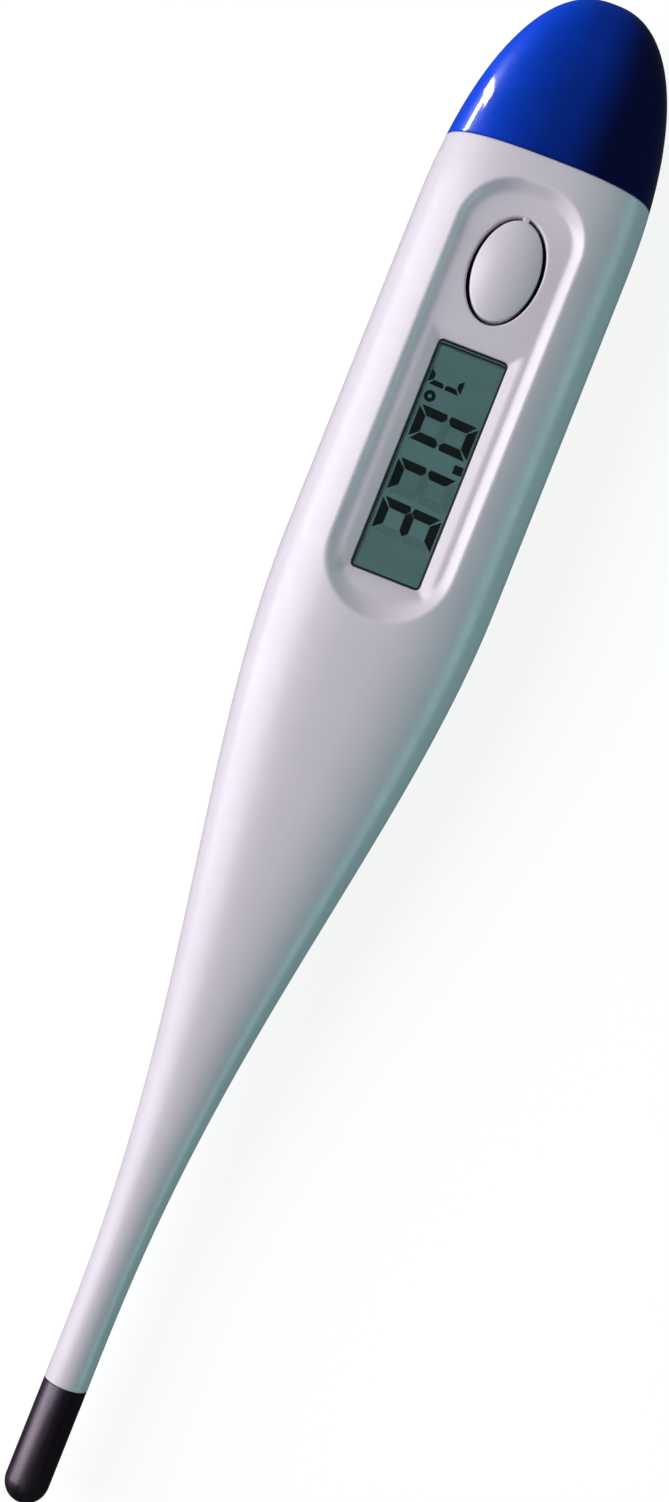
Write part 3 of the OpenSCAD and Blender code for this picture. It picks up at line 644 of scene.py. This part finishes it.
def make_button(mats):
    """Domed oval pad with a soft edge, its hinge web at the cap end and its post."""
    plastic = mats["white_plastic"]
    length, width = BUTTON_LEN - 2 * BUTTON_GAP, BUTTON_W - 2 * BUTTON_GAP
    outline = oval_outline(length, width)
    centre = np.array([BUTTON_AT, 0.0])
    layers = [(outline, BUTTON_BOTTOM), (outline, BUTTON_EDGE - PAD_EDGE)]
    for out, up in arc(0, 0, PAD_EDGE, 15, 60, 3):
        layers.append((grown(outline, out - PAD_EDGE), BUTTON_EDGE - PAD_EDGE + up))
    for i in range(1, DOME_STEPS):
        share = DOME_FROM * math.cos(math.radians(90 * i / DOME_STEPS))
        lift = EDGE_SHARE + (1 - EDGE_SHARE) * (1 - (share / DOME_FROM) ** 2)
        shrunk = (np.array(outline) - centre) * share + centre
        layers.append((shrunk, BUTTON_EDGE + BUTTON_CROWN * lift))
    pad = stack("pad", layers, plastic, 50)
    web_low = [BUTTON_AT + length / 2 - WEB_LAP, -WEB_W / 2, BUTTON_BOTTOM + 0.3]
    web_high = [BUTTON_AT + BUTTON_LEN / 2, WEB_W / 2, PANEL_Z - 0.03]
    web = rounded_box("web", web_low, web_high, plastic, WEB_EDGE)
    foot, head = BUTTON_LOW[2], BUTTON_BOTTOM + 0.1
    profile = [(foot, 0), (foot, POST_R - 0.1), (foot + 0.1, POST_R), (head, POST_R), (head, 0)]
    post = lathe("post", profile, plastic, axis="z", at=(BUTTON_AT, 0, 0))
    return joined("button_pad", [pad, web, post])


# ---------- window, seal, tip ----------

def make_window(mats):
    """Clear lens that fills the opening, with the flange that holds it behind the panel."""
    inset = SEAL_W + 0.02
    w = WINDOW_W / 2 - inset
    lens = rounded_outline(WINDOW_FROM + inset, WINDOW_TO - inset, -w, w, WINDOW_CORNER - inset)
    flange = rounded_outline(LENS_LOW[0], LENS_HIGH[0], LENS_LOW[1], LENS_HIGH[1], 1.3)
    base = prism("window_lens", flange, LENS_LOW[2], CEILING_Z, mats["clear_window"], 0.04)
    top = prism("lens", lens, CEILING_Z - 0.1, LENS_HIGH[2], mats["clear_window"], 0.03)
    return cut(base, [top], "UNION", smooth_angle=8.0)


def make_seal_and_gap_shade(mats):
    """Thin dark ring between the lens and its opening: a seal whose near-black is also painted shade,
    standing in for the shadow in the gap round the window.
    """
    w, edge = WINDOW_W / 2, 0.04
    low, high = SEAL_LOW[2], SEAL_HIGH[2]
    outer = rounded_outline(WINDOW_FROM + SEAL_GAP, WINDOW_TO - SEAL_GAP, -w + SEAL_GAP, w - SEAL_GAP,
                            WINDOW_CORNER)
    inner = rounded_outline(WINDOW_FROM + SEAL_W, WINDOW_TO - SEAL_W, -w + SEAL_W, w - SEAL_W,
                            WINDOW_CORNER - SEAL_W)
    rings = [(outer, low), (outer, high - edge), (grown(outer, -edge), high)]
    rings += [(grown(inner, edge), high), (inner, high - edge), (inner, low)]
    verts = [(x, y, z) for outline, z in rings for x, y in outline]
    faces = tube_faces(len(rings), len(outer), closed=True)
    return make_object("seal_and_gap_shade_ring", verts, faces, mats["seal_black"])


def make_tip(mats):
    """Drawn steel cup with a round end and a thin open edge."""
    wall = 0.18
    end = TIP_HIGH[0]
    outer = [(x, max(r, 0.0)) for x, r in arc(STEM_R, 0, STEM_R, 180, 90, 24)]
    outer += [(s, STEM_R) for s in np.linspace(STEM_R + 0.4, end - 0.06, 16)]
    outer += [(end, STEM_R - 0.05), (end, STEM_R - wall)]
    inner = [(x, max(r, 0.0)) for x, r in arc(STEM_R, 0, STEM_R - wall, 90, 180, 12)]
    return lathe("tip_cup", outer + inner, mats["tip_steel"], at=(0, 0, MID_Z), steps=96)


# ---------- battery end ----------

def make_cell_can(mats):
    """Upper can of the button cell, with rolled edges and a shallow ring pressed in its face."""
    c = (CELL_LOW + CELL_HIGH) / 2
    r, top, low = CELL_HIGH[1], CELL_HIGH[2], CELL_LOW[2]
    profile = [(top - 0.25, 0), (top - 0.25, r - 0.25), (low, r - 0.25), (low, r - 0.08), (low + 0.08, r)]
    profile += [(top - 0.3 + x, r - 0.3 + y) for y, x in arc(0, 0, 0.3, 0, 90, 6)]
    profile += [(top, r * 0.84), (top - 0.05, r * 0.81), (top - 0.05, r * 0.78), (top, r * 0.75), (top, 0)]
    return lathe("cell_can_shell", profile, mats["cell_steel"], axis="z", at=(c[0], 0, 0), steps=96)


def make_cell_cap(mats):
    """Lower cap of the button cell, with a rounded edge."""
    c = (CELL_CAP_LOW + CELL_CAP_HIGH) / 2
    r, top, low = CELL_CAP_HIGH[1], CELL_CAP_HIGH[2], CELL_CAP_LOW[2]
    profile = [(low, 0)] + [(low + 0.2 + x, r - 0.2 + y) for x, y in arc(0, 0, 0.2, 180, 90, 5)]
    profile += [(top, r), (top, 0)]
    return lathe("cell_cap_shell", profile, mats["cell_steel"], axis="z", at=(c[0], 0, 0), steps=64)


# ---------- display ----------

SLANT = math.tan(math.radians(2.8))
DIGIT_W, DIGIT_H, DIGIT_T, DIGIT_BASE = 2.77, 4.87, 0.72, -2.43
DIGIT_AT = (79.03, 82.21, 86.58)
UNLIT = dict(zip(DIGIT_AT, ("ef", "defg", "g")))
MITRE = 0.05


def segment(name):
    """Outline of one segment in a digit's own cell."""
    w, h, t, m = DIGIT_W, DIGIT_H, DIGIT_T, MITRE
    top = [(3 * m, h), (w - 3 * m, h), (w - t - m, h - t), (t + m, h - t)]
    side = [(w, h - 3 * m), (w, h / 2 + t / 4), (w - t / 2, h / 2 + m),
            (w - t, h / 2 + t / 2), (w - t, h - t - m)]
    bar = [(t / 2 + m, h / 2), (t + m, h / 2 + t / 2), (w - t - m, h / 2 + t / 2),
           (w - t / 2 - m, h / 2), (w - t - m, h / 2 - t / 2), (t + m, h / 2 - t / 2)]
    shape = {"a": top, "d": top, "g": bar}.get(name, side)
    if name in "cde":
        shape = [(x, h - y) for x, y in shape]
    if name in "ef":
        shape = [(w - x, y) for x, y in shape]
    return shape


def make_unlit_segments(mats):
    """Segments that are off: barely darker shapes on the rear glass."""
    low, high = SEGMENTS_Z + 0.005, SEGMENTS_Z + 0.02
    pieces = []
    for at, names in UNLIT.items():
        for name in names:
            outline = [(at + x + y * SLANT, DIGIT_BASE + y) for x, y in segment(name)]
            pieces.append(stack("segment", [(outline, low), (outline, high)], mats["unlit_segment"]))
    return joined("unlit_segments", pieces)


# ---------- stage ----------

# place and aim in millimetres from the frame's origin, size as (tall, wide), power in watts
LAMPS = {
    "key": ((10, 440, 275), (10, 0, 5), (560, 400), 3.55, (0.99, 1.0, 0.965)),
    "green_fill": ((10, -340, 72), (10, 0, 5), (130, 400), 0.46, (0.52, 1.0, 0.90)),
    "cap_key": ((110, 470, 72), (50, 0, 5), (60, 400), 4.8, (1, 1, 1)),
    "glint": ((200, 262, 48), (51, 6.4, 9), (120, 18), 0.2, (1, 1, 1)),
    "display_light": ((24, 0, 420), (24, 0, 7), (70, 70), 0.78, (1, 1, 1)),
}


def soft_light(name, at_mm, aim_mm, size_mm, power, colour):
    """Rectangular lamp turned towards its aim."""
    data = bpy.data.lights.new(name, "AREA")
    data.shape = "RECTANGLE"
    data.size, data.size_y = size_mm[0] * MM, size_mm[1] * MM
    data.energy, data.color = power, colour
    lamp = bpy.data.objects.new(name, data)
    bpy.context.collection.objects.link(lamp)
    lamp.location = Vector(at_mm) * MM
    aim = (Vector(aim_mm) - Vector(at_mm)).normalized()
    lamp.rotation_mode = "QUATERNION"
    lamp.rotation_quaternion = aim.to_track_quat("-Z", "X")
    return lamp


def limit_light(lamp, objects, state):
    """Makes a lamp light only the given objects (INCLUDE), or everything but them (EXCLUDE)."""
    group = bpy.data.collections.new(lamp.name + "_reach")
    for obj in objects:
        group.objects.link(obj)
    lamp.light_linking.receiver_collection = group
    for item in group.collection_objects:
        item.light_linking.link_state = state


# the table is flat out to FLOOR_R and then curves up into a wall, all in metres
FLOOR_R, FLOOR_BEND, WALL_TOP = 1.2, 1.2, 3.0
FLOOR_Z = -0.00005
FLOOR_STEPS = 96


def make_floor():
    """Pale table that curves up into a wall all round."""
    colour = (0.22, 0.22, 0.222)
    mat, shader = new_material("floor", colour, 0.7)
    vary_colour(mat, shader, colour, 0.01, 3)
    shader.inputs["Specular IOR Level"].default_value = 0.0
    shader.inputs["Emission Color"].default_value = (1.0, 1.0, 1.0, 1.0)
    shader.inputs["Emission Strength"].default_value = 0.88
    profile = [(FLOOR_R / 3, 0.0)]
    profile += [(FLOOR_R + x, FLOOR_BEND + z) for x, z in arc(0, 0, FLOOR_BEND, -90, 0, 16)]
    profile += [(FLOOR_R + FLOOR_BEND, WALL_TOP)]
    turns = np.linspace(0, 2 * math.pi, FLOOR_STEPS, endpoint=False)
    verts = [(0.0, 0.0, FLOOR_Z)]
    verts += [(r * math.cos(a), r * math.sin(a), z + FLOOR_Z) for r, z in profile for a in turns]
    faces = [tuple(1 + k for k in f) for f in tube_faces(len(profile), FLOOR_STEPS)]
    faces += [(0, 1 + i, 1 + (i + 1) % FLOOR_STEPS) for i in range(FLOOR_STEPS)]
    mesh = bpy.data.meshes.new("floor")
    mesh.from_pydata(verts, [], faces)
    mesh.materials.append(mat)
    mesh.shade_smooth()
    floor = bpy.data.objects.new("floor", mesh)
    bpy.context.collection.objects.link(floor)
    floor.visible_diffuse = False
    floor.visible_glossy = False
    floor.visible_transmission = False


def make_world():
    """Faint even light from all round."""
    world = bpy.data.worlds.new("studio")
    bpy.context.scene.world = world
    world.use_nodes = True
    back = world.node_tree.nodes["Background"]
    back.inputs["Color"].default_value = (0.80, 0.82, 0.86, 1)
    back.inputs["Strength"].default_value = 0.04


def make_lights(cap, window, tip, display):
    """Soft key from the top of the digits and a weak green fill from below them.

    The glossy cap has its own low key and highlight, and the sunk display a light from above."""
    lamps = {name: soft_light(name, *settings) for name, settings in LAMPS.items()}
    limit_light(lamps["key"], [cap, window] + display, "EXCLUDE")
    limit_light(lamps["green_fill"], [cap, window, tip], "EXCLUDE")
    limit_light(lamps["cap_key"], [cap], "INCLUDE")
    limit_light(lamps["glint"], [cap], "INCLUDE")
    limit_light(lamps["display_light"], display, "INCLUDE")


# ---------- camera ----------

# Nearly straight down, with the stick leaning up to the right of the frame; places as stations
LEAN = 68.24              # angle of the stick from the frame's right side, in degrees
CAMERA_AT = (61.0, -10.0, 180.2)
CAMERA_AIM = (62.5, -1.18, 5.2)
FOCAL_MM, SENSOR_MM = 54.5, 36.0


def make_camera():
    """Camera at CAMERA_AT, turned so that the stick leans by LEAN."""
    data = bpy.data.cameras.new("camera")
    data.lens, data.sensor_width = FOCAL_MM, SENSOR_MM
    data.clip_start, data.clip_end = 0.005, 20
    camera = bpy.data.objects.new("camera", data)
    bpy.context.collection.objects.link(camera)
    at = Vector((np.array(CAMERA_AT) + START) * MM)
    aim = Vector((np.array(CAMERA_AIM) + START) * MM)
    back = (at - aim).normalized()
    lean = math.radians(LEAN)
    up = Vector((math.sin(lean), math.cos(lean), 0))
    right = up.cross(back).normalized()
    up = back.cross(right)
    camera.matrix_world = Matrix.Translation(at) @ Matrix((right, up, back)).transposed().to_4x4()
    bpy.context.scene.camera = camera


# ---------- assembly ----------

def clear_shadow(*pieces):
    """Clear layers let the light through to what lies below them."""
    for piece in pieces:
        piece.visible_shadow = False


def show(piece, body, slot, *nodes):
    """Puts a piece on its body and hides the CAD nodes it stands for."""
    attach(piece, body)
    if nodes:
        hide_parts(*nodes)


# the rear glass lies flat against its reflector and takes on its colour
OWN_MATERIAL = {"lcd_rear_glass": "display_back"}


def paint_nodes(mats):
    """Gives each CAD node that stays in sight its material."""
    for part in frame["record"]["subparts"]:
        obj = frame["nodes"][part["node"]]
        for s in obj.material_slots:
            s.material = mats[OWN_MATERIAL.get(part["node"], part["material_slot"])]


DISPLAY_NODES = ("lcd_segments", "lcd_rear_glass", "lcd_rear_polariser", "lcd_edge_seal")


def main():
    mats = make_materials()
    nodes = frame["nodes"]
    paint_nodes(mats)
    make_camera()
    show(make_housing(mats), "body", "white_plastic", "housing")
    cap = make_cap(mats)
    show(cap, "cap", "blue_plastic", "battery_cap")
    show(make_button(mats), "button", "white_plastic", "power_button")
    window = make_window(mats)
    show(window, "body", "clear_window", "display_window")
    # the black seal ring is partly a real seal and partly painted shadow in the gap round the window
    show(make_seal_and_gap_shade(mats), "body", "seal_black", "window_seal")
    tip = make_tip(mats)
    show(tip, "body", "tip_steel", "probe_tip")
    show(make_cell_can(mats), "body", "cell_steel", "cell_can")
    show(make_cell_cap(mats), "body", "cell_steel", "cell_cap")
    unlit = make_unlit_segments(mats)
    show(unlit, "body", "display_back")
    clear_shadow(window, nodes["lcd_front_polariser"], nodes["lcd_front_glass"])
    make_floor()
    make_world()
    make_lights(cap, window, tip, [unlit] + [nodes[n] for n in DISPLAY_NODES])
    bpy.context.scene.view_settings.view_transform = "Standard"


main()
